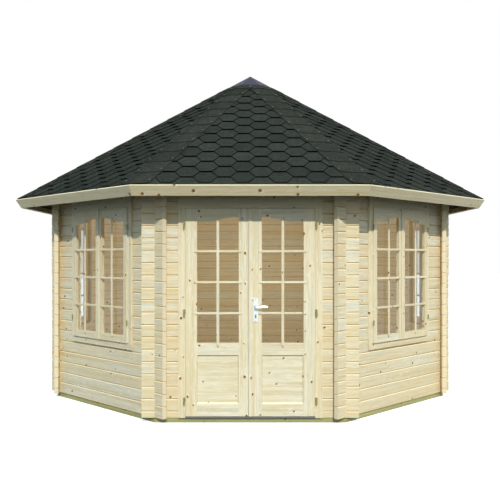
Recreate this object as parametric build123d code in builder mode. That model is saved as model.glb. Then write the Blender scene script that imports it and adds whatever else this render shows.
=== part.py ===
from build123d import *
import math
import os

# All sizes are in millimetres. The ground is Z = 0, the front wall faces -Y and the middle of the house is
# the origin. An apothem is the distance from the middle to a flat side of the octagon.

# The octagon
side_count = 8
turn = 360 / side_count
half_tan = math.tan(math.radians(turn / 2))
half_cos = math.cos(math.radians(turn / 2))
half_sin = math.sin(math.radians(turn / 2))

# Log walls
wall_apothem = 2130
log_thickness = 44
inner_apothem = wall_apothem - log_thickness
log_height = 114
log_overrun = 120
half_log_length = wall_apothem * half_tan + log_overrun
groove_side = 12
base_height = 45
wall_top = 2382
notch_height = log_height / 2
notch_width = 45
notch_length = 200
notch_apothem = wall_apothem - log_thickness / 2

# Base frame and floor
base_apothem = 2125
beam_width = 70
beam_slope_width = 12
beam_slope_height = 20
joist_width = 45
joist_spacing = 457
joist_count = 8
floor_thickness = 19
floor_apothem = 2085

# Casings round the doorway and the windows
casing_proud = 20
casing_face = wall_apothem + casing_proud
casing_width = 65
window_casing_width = 52
head_board_top = 2110
lining_share = 0.5

# Doorway
door_half_width = 598
door_head = 1976
threshold_top = 60

# Doors and sashes
leaf_proud = 36
leaf_thickness = 42
leaf_face = wall_apothem + leaf_proud
leaf_back = leaf_face - leaf_thickness
leaf_gap = 5
meeting_gap = 7
strip_half_width = 13.5
strip_proud = 10
door_bottom = threshold_top + leaf_gap
door_top = door_head - leaf_gap
door_glass = (106, 488, 738, 1850, 1892)
panel_bottom = 179
panel_top = 626
panel_depth = 12
panel_bevel_angle = 50
flat_share = 0.26
middle_share = 0.5
middle_rise_share = 0.4
glass_thickness = 5
glass_setback = 17
rebate_width = 10
glass_play = 0.5

# Windows
window_half_width = 488
window_bottom = 636
sill_top = 690
window_head = 2005
sash_bottom = 697
window_glass = (54, 435, 768, 1870, 1917)

# Door hinges
hinge_x = 608
hinge_y = -2172
hinge_heights = (173, 981, 1788)
hinge_height = 64
hinge_radius = 8
hinge_faces = 12
hinge_split = 32
hinge_seam = 1
hinge_arm = 8

# Door handle
handle_x = 49
handle_height = 1069
plate_bottom = 930
plate_top = 1148
plate_width = 44
plate_thickness = 8
spindle_width = 9
spindle_bore_radius = 7
lever_reach = 106
lever_standoff = 46
grip_depth = 10
grip_height = 18

# Roof
roof_slope = 0.6374
slope_angle = math.atan(roof_slope)
slope_cos = math.cos(slope_angle)
slope_sin = math.sin(slope_angle)
shingle_apex = 3753
shingle_depth = 8
board_depth = 27
eave_run = 3001
fascia_thickness = 18
fascia_proud = 2
fascia_depth = 98
fascia_gap = 0.4
cap_run = 315
cap_thickness = 3

# Hip rafters
rafter_width = 45
rafter_depth = 70
hub_apothem = 60
hub_height = 200

roof_reach = 2800
roof_height = 4000


def between(left, right, bottom, top, mode=Mode.ADD):
    # A rectangle given by its edges.
    with Locations(((left + right) / 2, (bottom + top) / 2)):
        Rectangle(right - left, top - bottom, mode=mode)


def octagon(apothem, mode=Mode.ADD):
    # An octagon with one side facing the front.
    RegularPolygon(apothem, side_count, major_radius=False, rotation=turn / 2, mode=mode)


def roof_point(run, depth):
    # A point of the front roof slope: run down the slope from the apex, depth square below the shingles.
    across = run * slope_cos - depth * slope_sin
    down = run * slope_sin + depth * slope_cos
    return (-across, shingle_apex - down)


def roof_axis_height(depth):
    return shingle_apex - depth / slope_cos


def roof_plane(side, depth):
    # The plane at a depth under the shingles of one of the eight slopes, counted from the front one.
    angle = math.radians(turn * side)
    normal = (slope_sin * math.sin(angle), -slope_sin * math.cos(angle), slope_cos)
    return Plane(origin=(0, 0, roof_axis_height(depth)), z_dir=normal)


def roof_slice(outline, gap=0):
    # An outline in the Y-Z plane, drawn out along the eave and mitred along both hips.
    with BuildPart() as piece:
        with BuildSketch(Plane.YZ):
            Polygon(*outline)
        extrude(amount=roof_reach, both=True)
        with BuildSketch():
            Polygon(
                (0, -gap),
                (-half_tan * roof_reach, -gap - roof_reach),
                (half_tan * roof_reach, -gap - roof_reach),
            )
        extrude(amount=roof_height, mode=Mode.INTERSECT)
    return piece.part


def finish(name, builder):
    builder.part.label = name
    export_step(builder.part, f"parts/{name}.step")


def finish_turned(name, shape, side):
    # A piece made for the front, turned round to another side of the octagon.
    with BuildPart() as piece:
        add(shape, rotation=(0, 0, turn * side))
    finish(name, piece)


os.makedirs("parts", exist_ok=True)

# Base frame: a ring of treated beams with a sloped outer edge, and joists across it.
with BuildPart() as base_frame:
    with BuildSketch():
        octagon(base_apothem)
        octagon(base_apothem - beam_width, mode=Mode.SUBTRACT)
        with GridLocations(0, joist_spacing, 1, joist_count):
            Rectangle(2 * base_apothem, joist_width)
        octagon(base_apothem, mode=Mode.INTERSECT)
    extrude(amount=base_height)
    beam_top = base_frame.faces().sort_by(Axis.Z)[-1]
    chamfer(
        beam_top.outer_wire().edges(),
        length=beam_slope_width,
        length2=beam_slope_height,
        reference=beam_top,
    )
finish("base_frame", base_frame)

# Floor, cut back behind the door casing.
with BuildPart() as floor:
    with BuildSketch(Plane.XY.offset(base_height)):
        octagon(floor_apothem)
        between(
            -door_half_width - casing_width,
            door_half_width + casing_width,
            -wall_apothem,
            casing_proud - inner_apothem,
            mode=Mode.SUBTRACT,
        )
    extrude(amount=floor_thickness)
finish("floor", floor)

# Hip rafter over the corner at the right of the front wall. Its tail stops behind the fascia boards.
hip_slope = roof_slope * half_cos
rafter_drop = rafter_depth * math.sqrt(1 + hip_slope**2)
rafter_top = roof_axis_height(board_depth)
tail_play = 2


def tail_reach(depth):
    # How far out along the hip the tail may run at a depth under the shingles.
    apothem = -roof_point(eave_run - fascia_thickness, depth)[0]
    return (apothem - rafter_width / 2 * half_sin) / half_cos - tail_play


tail_top = tail_reach(board_depth)
tail_bottom = tail_reach(board_depth + rafter_drop * slope_cos)
with BuildPart() as rafter:
    with BuildSketch(Plane.XZ):
        Polygon(
            (hub_apothem, rafter_top - hip_slope * hub_apothem),
            (tail_top, rafter_top - hip_slope * tail_top),
            (tail_bottom, rafter_top - hip_slope * tail_bottom - rafter_drop),
            (hub_apothem, rafter_top - hip_slope * hub_apothem - rafter_drop),
        )
    extrude(amount=rafter_width / 2, both=True)
with BuildPart() as corner_rafter:
    add(rafter.part, rotation=(0, 0, turn / 2 - 90))
    for slope in (0, 1):
        split(bisect_by=roof_plane(slope, board_depth), keep=Keep.BOTTOM)
with BuildPart() as hip_rafters:
    for side in range(side_count):
        add(corner_rafter.part, rotation=(0, 0, turn * side))
finish("hip_rafters", hip_rafters)

# Hub that the rafters meet at.
with BuildPart() as rafter_hub:
    hub_top = rafter_top - roof_slope * hub_apothem / half_cos
    with BuildSketch(Plane.XY.offset(hub_top)):
        RegularPolygon(hub_apothem, side_count, major_radius=False)
    extrude(amount=-hub_height)
finish("rafter_hub", rafter_hub)


def log_wall(first_notch):
    # A stack of logs with V grooves outside. The underside of each log is notched at both ends, by half its
    # height, to sit over the logs of the walls beside it. A joint between logs is where a notch starts.
    steps = range(math.ceil((wall_top - first_notch) / log_height))
    log_joints = [first_notch + log_height * step for step in steps]
    log_joints = [joint for joint in log_joints if joint > base_height]
    with BuildPart() as notches:
        with BuildSketch(Plane.XY.offset(first_notch)):
            for end in (-1, 1):
                with Locations((end * notch_apothem * half_tan, -notch_apothem)):
                    Rectangle(notch_length, notch_width, rotation=end * turn)
        extrude(amount=notch_height)
    with BuildPart() as wall:
        with BuildSketch(Plane.YZ.offset(-half_log_length)):
            between(-wall_apothem, -inner_apothem, base_height, wall_top)
            with Locations(*[(-wall_apothem, joint) for joint in log_joints]):
                Rectangle(groove_side, groove_side, rotation=45, mode=Mode.SUBTRACT)
        extrude(amount=2 * half_log_length)
        with Locations(*[(0, 0, log_height * step) for step in steps]):
            add(notches.part, mode=Mode.SUBTRACT)
        for slope in (-1, 0, 1):
            split(bisect_by=roof_plane(slope, board_depth), keep=Keep.BOTTOM)
        add(corner_rafter.part, mode=Mode.SUBTRACT)
        add(corner_rafter.part, rotation=(0, 0, -turn), mode=Mode.SUBTRACT)
    return wall.part


def window_wall(plain_wall):
    # The hole is wider than the sashes, so that the casing can line it.
    lining = window_casing_width * lining_share
    with BuildPart() as wall:
        add(plain_wall)
        with BuildSketch(Plane.XZ.offset(wall_apothem)):
            between(
                -window_half_width - lining,
                window_half_width + lining,
                window_bottom + lining,
                window_head + lining,
            )
        extrude(amount=-log_thickness, mode=Mode.SUBTRACT)
    return wall.part


# The front, side and back walls start with half a log, the four between them with a whole one.
half_start_wall = log_wall(base_height + log_height / 2)
whole_start_wall = log_wall(base_height)
half_start_window_wall = window_wall(half_start_wall)
whole_start_window_wall = window_wall(whole_start_wall)

finish_turned("front_right_wall", whole_start_window_wall, 1)
finish_turned("right_wall", half_start_window_wall, 2)
finish_turned("back_right_wall", whole_start_wall, 3)
finish_turned("back_wall", half_start_wall, 4)
finish_turned("back_left_wall", whole_start_wall, 5)
finish_turned("left_wall", half_start_window_wall, 6)
finish_turned("front_left_wall", whole_start_window_wall, 7)

# Front wall, in three pieces round the doorway.
door_lining = casing_width * lining_share
door_hole_half = door_half_width + door_lining
door_hole_top = door_head + door_lining
with BuildPart() as front_wall_left:
    add(half_start_wall)
    split(bisect_by=Plane.YZ.offset(-door_hole_half), keep=Keep.BOTTOM)
with BuildPart() as front_wall_right:
    add(half_start_wall)
    split(bisect_by=Plane.YZ.offset(door_hole_half), keep=Keep.TOP)
with BuildPart() as front_wall_header:
    add(half_start_wall)
    split(bisect_by=Plane.YZ.offset(-door_hole_half), keep=Keep.TOP)
    split(bisect_by=Plane.YZ.offset(door_hole_half), keep=Keep.BOTTOM)
    split(bisect_by=Plane.XY.offset(door_hole_top), keep=Keep.TOP)
finish("front_wall_left", front_wall_left)
finish("front_wall_right", front_wall_right)
finish("front_wall_header", front_wall_header)


def casing(half_width, width, bottom, lining_bottom, opening_bottom, opening_top):
    # Boards on both faces of the wall and a lining between them, round one opening.
    lining = width * lining_share
    layers = (
        (casing_face, casing_proud, width, bottom, head_board_top),
        (wall_apothem, log_thickness, lining, lining_bottom, opening_top + lining),
        (inner_apothem, casing_proud, width, bottom, opening_top + width),
    )
    with BuildPart() as frame:
        for face, depth, border, low, high in layers:
            with BuildSketch(Plane.XZ.offset(face)):
                between(-half_width - border, half_width + border, low, high)
                between(-half_width, half_width, opening_bottom, opening_top, mode=Mode.SUBTRACT)
            extrude(amount=-depth)
    return frame.part


# Door casing: open at the bottom, where the threshold lies.
with BuildPart() as door_frame:
    add(casing(door_half_width, casing_width, base_height, base_height, base_height, door_head))
finish("door_frame", door_frame)

with BuildPart() as door_threshold:
    with BuildSketch(Plane.XY.offset(base_height)):
        between(-door_half_width, door_half_width, -casing_face, casing_proud - inner_apothem)
    extrude(amount=threshold_top - base_height)
finish("door_threshold", door_threshold)


def glazed_leaf(inner, outer, bottom, top, glass):
    # A door or sash for the right-hand side: a slab with an arched hole and a square rebate behind it.
    glass_inner, glass_outer, glass_bottom, shoulder, crown = glass
    width = glass_outer - glass_inner
    bend = (glass_outer - flat_share * width, shoulder)
    middle = (glass_outer - middle_share * width, shoulder + middle_rise_share * (crown - shoulder))
    with BuildPart() as leaf:
        with BuildSketch(Plane.XZ.offset(leaf_face)):
            between(inner, outer, bottom, top)
        extrude(amount=-leaf_thickness)
        with BuildSketch(Plane.XZ.offset(leaf_face)):
            with BuildLine():
                Line((glass_outer, shoulder), bend)
                rise = TangentArc(bend, middle, tangent=(-1, 0))
                TangentArc(rise @ 1, (glass_inner, crown), tangent=rise % 1)
                Polyline(
                    (glass_inner, crown),
                    (glass_inner, glass_bottom),
                    (glass_outer, glass_bottom),
                    (glass_outer, shoulder),
                )
            make_face()
        extrude(amount=-leaf_thickness, mode=Mode.SUBTRACT)
        with BuildSketch(Plane.XZ.offset(leaf_back)):
            between(
                glass_inner - rebate_width,
                glass_outer + rebate_width,
                glass_bottom - rebate_width,
                crown + rebate_width,
            )
        extrude(amount=leaf_thickness - glass_setback, mode=Mode.SUBTRACT)
    return leaf.part


def glass_pane(glass):
    # A plain rectangular pane that rests against the rebate.
    glass_inner, glass_outer, glass_bottom, shoulder, crown = glass
    edge = rebate_width - glass_play
    with BuildPart() as pane:
        with BuildSketch(Plane.XZ.offset(leaf_face - glass_setback)):
            between(glass_inner - edge, glass_outer + edge, glass_bottom - rebate_width, crown + edge)
        extrude(amount=-glass_thickness)
    return pane.part


def meeting_strip(bottom, top):
    with BuildPart() as strip:
        with BuildSketch(Plane.XZ.offset(leaf_face)):
            between(-strip_half_width, strip_half_width, bottom, top)
        extrude(amount=strip_proud)
    return strip.part


def door_leaf(inner):
    # A glazed leaf with a panel below, sunk into both faces between sloped edges.
    glass_inner, glass_outer = door_glass[:2]
    with BuildPart() as leaf:
        add(glazed_leaf(inner, door_half_width - leaf_gap, door_bottom, door_top, door_glass))
        with BuildSketch(Plane.XZ.offset(leaf_face)):
            between(glass_inner, glass_outer, panel_bottom, panel_top)
        extrude(amount=-panel_depth, taper=panel_bevel_angle, mode=Mode.SUBTRACT)
        with BuildSketch(Plane.XZ.offset(leaf_back)):
            between(glass_inner, glass_outer, panel_bottom, panel_top)
        extrude(amount=panel_depth, taper=panel_bevel_angle, mode=Mode.SUBTRACT)
    return leaf.part


with BuildPart() as right_door:
    add(door_leaf(-strip_half_width))
    add(meeting_strip(door_bottom, door_top))
    with BuildSketch(Plane.XZ.offset(leaf_face)):
        with Locations((handle_x, handle_height)):
            Circle(spindle_bore_radius)
    extrude(amount=-leaf_thickness, mode=Mode.SUBTRACT)
finish("right_door", right_door)

with BuildPart() as left_door:
    mirror(door_leaf(strip_half_width + meeting_gap), about=Plane.YZ)
finish("left_door", left_door)

with BuildPart() as right_door_glass:
    add(glass_pane(door_glass))
finish("right_door_glass", right_door_glass)

with BuildPart() as left_door_glass:
    mirror(glass_pane(door_glass), about=Plane.YZ)
finish("left_door_glass", left_door_glass)

# Windows: a casing, two sashes with the strip on the right-hand one, and a pane in each sash.
window_lining_bottom = window_bottom + window_casing_width * lining_share
window_frame = casing(
    window_half_width, window_casing_width, window_bottom, window_lining_bottom, sill_top, window_head
)
with BuildPart() as window_sashes:
    right_sash = glazed_leaf(-strip_half_width, window_half_width, sash_bottom, window_head, window_glass)
    left_sash = glazed_leaf(
        strip_half_width + meeting_gap, window_half_width, sash_bottom, window_head, window_glass
    )
    add(right_sash)
    add(meeting_strip(sash_bottom, window_head))
    mirror(left_sash, about=Plane.YZ)
with BuildPart() as window_panes:
    add(glass_pane(window_glass))
    mirror(glass_pane(window_glass), about=Plane.YZ)
for place, side in (("front_right", 1), ("right", 2), ("left", 6), ("front_left", 7)):
    finish_turned(f"{place}_window_frame", window_frame, side)
    finish_turned(f"{place}_window_sashes", window_sashes.part, side)
    finish_turned(f"{place}_window_glass", window_panes.part, side)


# Hinges of the right-hand door. The half on the casing carries the half on the door.
def hinge_half(bottom, height, arm_left, arm_right, arm_front, arm_back):
    with BuildPart() as half:
        with BuildSketch(Plane.XY.offset(bottom)):
            with Locations((hinge_x, hinge_y)):
                RegularPolygon(hinge_radius, hinge_faces)
            between(arm_left, arm_right, arm_front, arm_back)
        extrude(amount=height)
    return half.part


def hinge_casing_half(bottom):
    half_arm = hinge_arm / 2
    height = hinge_split - hinge_seam
    return hinge_half(bottom, height, hinge_x - half_arm, hinge_x + half_arm, hinge_y, -casing_face)


def hinge_door_half(bottom):
    height = hinge_height - hinge_split
    door_edge = door_half_width - leaf_gap
    return hinge_half(bottom + hinge_split, height, door_edge, hinge_x, -leaf_face, hinge_arm - leaf_face)


with BuildPart() as casing_hinge_halves:
    for bottom in hinge_heights:
        add(hinge_casing_half(bottom))
        mirror(hinge_casing_half(bottom), about=Plane.YZ)
with BuildPart() as right_door_hinge_halves:
    for bottom in hinge_heights:
        add(hinge_door_half(bottom))
with BuildPart() as left_door_hinge_halves:
    mirror(right_door_hinge_halves.part, about=Plane.YZ)
finish("casing_hinge_halves", casing_hinge_halves)
finish("right_door_hinge_halves", right_door_hinge_halves)
finish("left_door_hinge_halves", left_door_hinge_halves)

# Handle plates on both faces of the right-hand door.
with BuildPart() as door_handle_plates:
    for plane in (Plane.XZ.offset(leaf_face), Plane.XZ.offset(leaf_back - plate_thickness)):
        with BuildSketch(plane):
            with Locations((handle_x, (plate_bottom + plate_top) / 2)):
                Rectangle(plate_width, plate_top - plate_bottom)
            with Locations((handle_x, handle_height)):
                Circle(spindle_bore_radius, mode=Mode.SUBTRACT)
        extrude(amount=plate_thickness)
finish("door_handle_plates", door_handle_plates)

# Lever: a square spindle through the door with a flat grip on both sides.
with BuildPart() as door_lever:
    grip_front = -leaf_face - plate_thickness - lever_standoff
    grip_back = -leaf_back + plate_thickness + lever_standoff
    with BuildSketch(Plane.XY.offset(handle_height)):
        between(handle_x - spindle_width / 2, handle_x + spindle_width / 2, grip_front, grip_back)
    extrude(amount=spindle_width / 2, both=True)
    with BuildSketch(Plane.XY.offset(handle_height)):
        for near, far in ((grip_front, grip_front + grip_depth), (grip_back - grip_depth, grip_back)):
            between(handle_x - spindle_width / 2, handle_x + lever_reach, near, far)
    extrude(amount=grip_height / 2, both=True)
finish("door_lever", door_lever)

# Roof boards: one mitred panel a side.
boards = roof_slice(
    [
        (0, roof_axis_height(shingle_depth)),
        roof_point(eave_run - fascia_thickness, shingle_depth),
        roof_point(eave_run - fascia_thickness, board_depth),
        (0, roof_axis_height(board_depth)),
    ]
)
side_names = ("front", "front_right", "right", "back_right", "back", "back_left", "left", "front_left")
for side, place in enumerate(side_names):
    finish_turned(f"{place}_roof_panel", boards, side)

# Shingles: one cover that runs over the hips.
shingle_slope = roof_slice(
    [
        (0, roof_axis_height(0)),
        roof_point(eave_run - fascia_thickness, 0),
        roof_point(eave_run - fascia_thickness, shingle_depth),
        (0, roof_axis_height(shingle_depth)),
    ]
)
with BuildPart() as shingle_cover:
    for side in range(side_count):
        add(shingle_slope, rotation=(0, 0, turn * side))
finish("shingle_cover", shingle_cover)

# Fascia boards, square to the slope and mitred at the corners.
fascia = roof_slice(
    [
        roof_point(eave_run - fascia_thickness, -fascia_proud),
        roof_point(eave_run, -fascia_proud),
        roof_point(eave_run, fascia_depth),
        roof_point(eave_run - fascia_thickness, fascia_depth),
    ],
    gap=fascia_gap,
)
with BuildPart() as fascia_boards:
    for side in range(side_count):
        add(fascia, rotation=(0, 0, turn * side))
finish("fascia_boards", fascia_boards)

# Metal cap over the point of the roof.
cap_slope = roof_slice(
    [
        (0, roof_axis_height(-cap_thickness)),
        roof_point(cap_run, -cap_thickness),
        roof_point(cap_run, 0),
        (0, roof_axis_height(0)),
    ]
)
with BuildPart() as roof_cap:
    for side in range(side_count):
        add(cap_slope, rotation=(0, 0, turn * side))
finish("roof_cap", roof_cap)
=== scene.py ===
import bpy
import bmesh
import math
import random
from mathutils import Matrix, Vector


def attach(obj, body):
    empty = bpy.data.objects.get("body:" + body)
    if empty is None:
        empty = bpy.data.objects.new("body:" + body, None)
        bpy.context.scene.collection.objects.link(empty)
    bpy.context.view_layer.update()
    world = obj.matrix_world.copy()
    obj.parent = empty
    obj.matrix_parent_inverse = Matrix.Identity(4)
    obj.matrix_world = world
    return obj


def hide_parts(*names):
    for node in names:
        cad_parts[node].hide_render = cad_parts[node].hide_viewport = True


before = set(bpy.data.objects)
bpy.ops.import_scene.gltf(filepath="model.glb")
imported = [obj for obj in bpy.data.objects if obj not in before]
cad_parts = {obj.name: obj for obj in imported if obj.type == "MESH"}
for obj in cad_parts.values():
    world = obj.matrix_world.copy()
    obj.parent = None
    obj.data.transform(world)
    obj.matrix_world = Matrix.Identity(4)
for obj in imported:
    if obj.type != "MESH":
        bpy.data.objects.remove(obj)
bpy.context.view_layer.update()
mm = 0.001
eighth = math.radians(45)
sideNames = ["front", "front_right", "right", "back_right", "back", "back_left", "left",
             "front_left"]
chance = random.Random(11)
print("frame loaded")


def toLinear(red, green, blue):  # a colour as a picture shows it, made linear
    parts = []
    for value in (red, green, blue):
        share = value / 255
        parts.append(share / 12.92 if share <= 0.04045 else ((share + 0.055) / 1.055) ** 2.4)
    return (*parts, 1)


# small helpers for shader nodes
def newMaterial(name, roughness, specular=None):
    material = bpy.data.materials.new(name)
    material.use_nodes = True
    tree = material.node_tree
    shader = tree.nodes["Principled BSDF"]
    shader.inputs["Roughness"].default_value = roughness
    if specular is not None:
        shader.inputs["Specular IOR Level"].default_value = specular
    return material, tree, shader


def fillSlots(tree, slots, values):  # a number or a colour is set, an output is linked
    for slot, value in zip(slots, values):
        if isinstance(value, (int, float, tuple, list)):
            slot.default_value = value
        elif value is not None:
            tree.links.new(value, slot)


def mathNode(tree, operation, first, second=None, third=None):
    node = tree.nodes.new("ShaderNodeMath")
    node.operation = operation
    fillSlots(tree, node.inputs, (first, second, third))
    return node.outputs[0]


def vectorNode(tree, operation, first, second=None):
    node = tree.nodes.new("ShaderNodeVectorMath")
    node.operation = operation
    fillSlots(tree, node.inputs, (first, second))
    return node.outputs["Value" if operation == "LENGTH" else "Vector"]


def rangeNode(tree, value, low, high, toLow=0.0, toHigh=1.0, smooth=False):
    node = tree.nodes.new("ShaderNodeMapRange")
    node.interpolation_type = "SMOOTHSTEP" if smooth else "LINEAR"
    tree.links.new(value, node.inputs["Value"])
    names = ("From Min", "From Max", "To Min", "To Max")
    for name, number in zip(names, (low, high, toLow, toHigh)):
        node.inputs[name].default_value = number
    return node.outputs["Result"]


def mixColour(tree, share, first, second, blend="MIX"):
    node = tree.nodes.new("ShaderNodeMix")
    node.data_type = "RGBA"
    node.blend_type = blend
    fillSlots(tree, (node.inputs[0], node.inputs[6], node.inputs[7]), (share, first, second))
    return node.outputs[2]


def noiseNode(tree, place, scale=1.0, detail=2.0, rough=0.5):
    node = tree.nodes.new("ShaderNodeTexNoise")
    tree.links.new(place, node.inputs["Vector"])
    node.inputs["Scale"].default_value = scale
    node.inputs["Detail"].default_value = detail
    node.inputs["Roughness"].default_value = rough
    return node.outputs["Fac"]


def combine(tree, x, y, z):
    node = tree.nodes.new("ShaderNodeCombineXYZ")
    fillSlots(tree, node.inputs, (x, y, z))
    return node.outputs[0]


def separate(tree, vector):
    node = tree.nodes.new("ShaderNodeSeparateXYZ")
    tree.links.new(vector, node.inputs[0])
    return node.outputs[:3]


def objectPlace(tree):
    return tree.nodes.new("ShaderNodeTexCoord").outputs["Object"]


def readAttribute(tree, name, output):
    node = tree.nodes.new("ShaderNodeAttribute")
    node.attribute_name = name
    return node.outputs[output]


def randomNumber(tree, seed):
    node = tree.nodes.new("ShaderNodeTexWhiteNoise")
    node.noise_dimensions = "1D"
    tree.links.new(seed, node.inputs["W"])
    return node.outputs["Value"]


# wood: grain runs along the first coordinate of the place, in metres
spruceLook = {
    "pale": toLinear(236, 229, 203),
    "dark": toLinear(207, 182, 130),
    "warm": toLinear(231, 208, 153),
    "cool": toLinear(214, 212, 189),
    "white": toLinear(250, 247, 230),
    "knot": toLinear(112, 76, 30),
    "knotRing": toLinear(218, 176, 100),
    "knotStep": (3.6, 9.0, 1.0),
    "knotShare": 0.55,
    "knotRadius": (0.006, 0.014),
    "streak": 0.85,
    "toneSpread": 0.5,
}
grainLook = {  # stretch along and across the grain, scale, detail, roughness
    "streak": ((0.55, 26), 1.0, 3.0, 0.62),
    "fine": ((5, 240), 1.0, 2.0, 0.6),
    "cloud": ((1.3, 4), 1.0, 2.0, 0.5),
    "bands": ((0.9, 15), 1.7, 2.0, 0.5),
    "lines": ((1.1, 90), 1.0, 2.0, 0.7),
    "flecks": ((10, 80), 1.0, 2.0, 0.7),
    "wobble": ((60, 60), 1.0, 1.0, 0.5),
}
knotLook = {
    "oval": (1.0, 1.25, 0.0), "wobble": 0.004, "edge": (-0.004, 0.001),
    "ring": (-0.016, -0.002, 0.6), "shine": (-0.009, 0.002, 0.45),
    "shineOffset": (0.011, -0.007, 0.0),
}


def woodColour(tree, place, tone, look):
    grain = {}
    for name, ((along, across), scale, detail, rough) in grainLook.items():
        stretched = vectorNode(tree, "MULTIPLY", place, (along, across, across))
        grain[name] = noiseNode(tree, stretched, scale, detail, rough)
    colour = look["pale"]
    # each noise, from low to high, mixes a share of a colour over
    for name, low, high, toLow, toHigh, smooth, over in (
        ("streak", 0.42, 0.72, 0.0, look["streak"], True, "dark"),
        ("bands", 0.48, 0.68, 0.0, 0.7, True, "cool"),
        ("lines", 0.52, 0.72, 0.0, 0.6, True, "dark"),
        ("cloud", 0.35, 0.75, 0.0, 0.4, False, "warm"),
        ("flecks", 0.54, 0.74, 0.0, 0.6, True, "white"),
        ("flecks", 0.30, 0.45, 0.45, 0.0, True, "dark"),
    ):
        share = rangeNode(tree, grain[name], low, high, toLow, toHigh, smooth)
        colour = mixColour(tree, share, colour, look[over])
    share = mathNode(tree, "MULTIPLY", tone, look["toneSpread"])
    colour = mixColour(tree, share, colour, look["warm"])
    shade = rangeNode(tree, grain["fine"], 0.3, 0.7, 0.93, 1.04)
    colour = mixColour(tree, 1.0, colour, combine(tree, shade, shade, shade), "MULTIPLY")
    # knots: the nearest cell centre, measured round in true size
    cells = tree.nodes.new("ShaderNodeTexVoronoi")
    cells.inputs["Scale"].default_value = 1.0
    step = look["knotStep"]
    tree.links.new(vectorNode(tree, "MULTIPLY", place, step), cells.inputs["Vector"])
    centre = vectorNode(tree, "DIVIDE", cells.outputs["Position"], step)
    offset = vectorNode(tree, "SUBTRACT", place, centre)
    offset = vectorNode(tree, "MULTIPLY", offset, knotLook["oval"])
    distance = vectorNode(tree, "LENGTH", offset)
    distance = mathNode(tree, "MULTIPLY_ADD", grain["wobble"], knotLook["wobble"], distance)
    picks = separate(tree, cells.outputs["Color"])
    radius = rangeNode(tree, picks[1], 0.0, 1.0, *look["knotRadius"])
    chosen = mathNode(tree, "LESS_THAN", picks[0], look["knotShare"])
    inside = mathNode(tree, "SUBTRACT", radius, distance)
    # painted highlight: a pale spot set off to one side of each knot
    shine = vectorNode(tree, "SUBTRACT", offset, knotLook["shineOffset"])
    insideShine = mathNode(tree, "SUBTRACT", radius, vectorNode(tree, "LENGTH", shine))
    for depth, (low, high, most), over in (
        (inside, knotLook["ring"], "knotRing"),
        (insideShine, knotLook["shine"], "white"),
        (inside, (*knotLook["edge"], 1.0), "knot"),
    ):
        share = rangeNode(tree, depth, low, high, 0.0, most, smooth=True)
        colour = mixColour(tree, mathNode(tree, "MULTIPLY", share, chosen), colour, look[over])
    height = mathNode(tree, "MULTIPLY", grain["fine"], 0.4)
    return colour, mathNode(tree, "MULTIPLY_ADD", grain["streak"], 0.6, height)


def addBump(tree, shader, height, strength, depth):
    bump = tree.nodes.new("ShaderNodeBump")
    bump.inputs["Strength"].default_value = strength
    bump.inputs["Distance"].default_value = depth
    tree.links.new(height, bump.inputs["Height"])
    tree.links.new(bump.outputs["Normal"], shader.inputs["Normal"])


joineryBump = (0.25, 0.0006)  # strength and depth in metres


def boardMaterial(name, look, roughness=0.62):  # reads the attributes that each board carries
    material, tree, shader = newMaterial(name, roughness)
    place = readAttribute(tree, "grainPlace", "Vector")
    tone = readAttribute(tree, "boardTone", "Fac")
    colour, height = woodColour(tree, place, tone, look)
    tree.links.new(colour, shader.inputs["Base Color"])
    addBump(tree, shader, height, *joineryBump)
    return material


logLook = {
    **spruceLook,
    "pale": toLinear(230, 223, 196),
    "dark": toLinear(206, 181, 128),
    "warm": toLinear(229, 203, 148),
    "cool": toLinear(206, 208, 195),
    "knotShare": 0.5,
    "knotStep": (2.0, 8.0, 1.0),
    "endPale": toLinear(246, 232, 198),
    "endDark": toLinear(232, 204, 154),
    "ringStretch": (1.0, 60.0, 240.0),
    "course": 0.114,
    "jointLine": 0.0011,
    "joint": toLinear(120, 80, 44),
    "underLogShade": toLinear(190, 136, 80),
    "overLogHighlight": toLinear(255, 240, 190),
    "bevelLine": 0.006,
    "insideFrom": -2.1,
    "insideWider": 2.2,
    "seedStep": 40.0,
    "toneShift": 31.0,
    "endFrom": 0.8,
    "roughness": 0.65,
    "bump": (0.3, 0.0008),
}


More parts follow.
